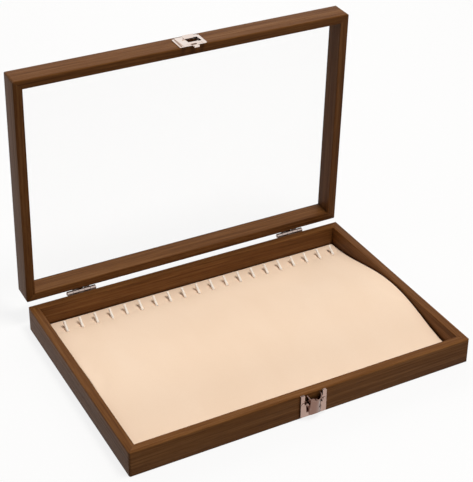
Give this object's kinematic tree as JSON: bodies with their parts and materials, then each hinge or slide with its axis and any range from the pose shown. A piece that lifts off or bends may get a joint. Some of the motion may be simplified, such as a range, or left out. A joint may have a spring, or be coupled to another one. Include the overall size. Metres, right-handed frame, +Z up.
{
  "type": "necklace organizer box",
  "caption": "Shallow wooden necklace case with an arched velvet pad, a row of leaning hooks and a glazed lid on stop hinges held shut by a sprung press latch.",
  "frame": {"origin": "centre of the tray's outer footprint, on the flat underside it rests on", "axes": "+X to the case's right along its long side, +Y from the front (latch) to the back (hinges), +Z up"},
  "size_m": [0.35, 0.2744, 0.2737],
  "materials": {
    "walnut_wood": "stained, satin lacquer",
    "panel_wood": "stained, matt",
    "pad_board": "plain board",
    "pad_velvet": "short cream velvet pile over foam",
    "hook_plastic": "cream, softly glossy",
    "clear_glass": "clear, polished",
    "bright_chrome": "mirror bright",
    "plated_steel": "nickel plated"
  },
  "bodies": {
    "tray": {"tray_front_rail": "walnut_wood", "tray_back_rail": "walnut_wood", "tray_left_rail": "walnut_wood", "tray_right_rail": "walnut_wood", "bottom_panel": "panel_wood", "pad_board": "pad_board", "display_pad": "pad_velvet", "hook_01": "hook_plastic", "hook_02": "hook_plastic", "hook_03": "hook_plastic", "hook_04": "hook_plastic", "hook_05": "hook_plastic", "hook_06": "hook_plastic", "hook_07": "hook_plastic", "hook_08": "hook_plastic", "hook_09": "hook_plastic", "hook_10": "hook_plastic", "hook_11": "hook_plastic", "hook_12": "hook_plastic", "hook_13": "hook_plastic", "hook_14": "hook_plastic", "hook_15": "hook_plastic", "hook_16": "hook_plastic", "hook_17": "hook_plastic", "hook_18": "hook_plastic", "hook_19": "hook_plastic", "hook_20": "hook_plastic", "left_hinge_lower_leaf": "bright_chrome", "right_hinge_lower_leaf": "bright_chrome", "left_hinge_pin": "plated_steel", "right_hinge_pin": "plated_steel", "left_hinge_lower_screw_1": "plated_steel", "left_hinge_lower_screw_2": "plated_steel", "right_hinge_lower_screw_1": "plated_steel", "right_hinge_lower_screw_2": "plated_steel", "latch_base_plate": "bright_chrome", "latch_pin": "plated_steel", "latch_spring": "plated_steel", "latch_screw_1": "plated_steel", "latch_screw_2": "plated_steel"},
    "lid": {"lid_front_rail": "walnut_wood", "lid_back_rail": "walnut_wood", "lid_left_rail": "walnut_wood", "lid_right_rail": "walnut_wood", "glass_pane": "clear_glass", "left_hinge_upper_leaf": "bright_chrome", "right_hinge_upper_leaf": "bright_chrome", "left_hinge_upper_screw_1": "plated_steel", "left_hinge_upper_screw_2": "plated_steel", "right_hinge_upper_screw_1": "plated_steel", "right_hinge_upper_screw_2": "plated_steel", "strike_plate": "bright_chrome", "strike_screw_1": "plated_steel", "strike_screw_2": "plated_steel"},
    "press_button": {"press_button": "bright_chrome"}
  },
  "joints": [
    {"name": "lid_hinge", "type": "hinge", "parent": "tray", "child": "lid", "pos_m": [0, 0.1225, 0.02615], "axis": [1, 0, 0], "range_deg": [0, 88]},
    {"name": "latch_press", "type": "hinge", "parent": "tray", "child": "press_button", "pos_m": [0.0034, -0.1234, 0.017], "axis": [1, 0, 0], "range_deg": [0, 8.5], "stiffness_Nm_per_rad": 0.05, "springref_deg": -8.59}
  ]
}
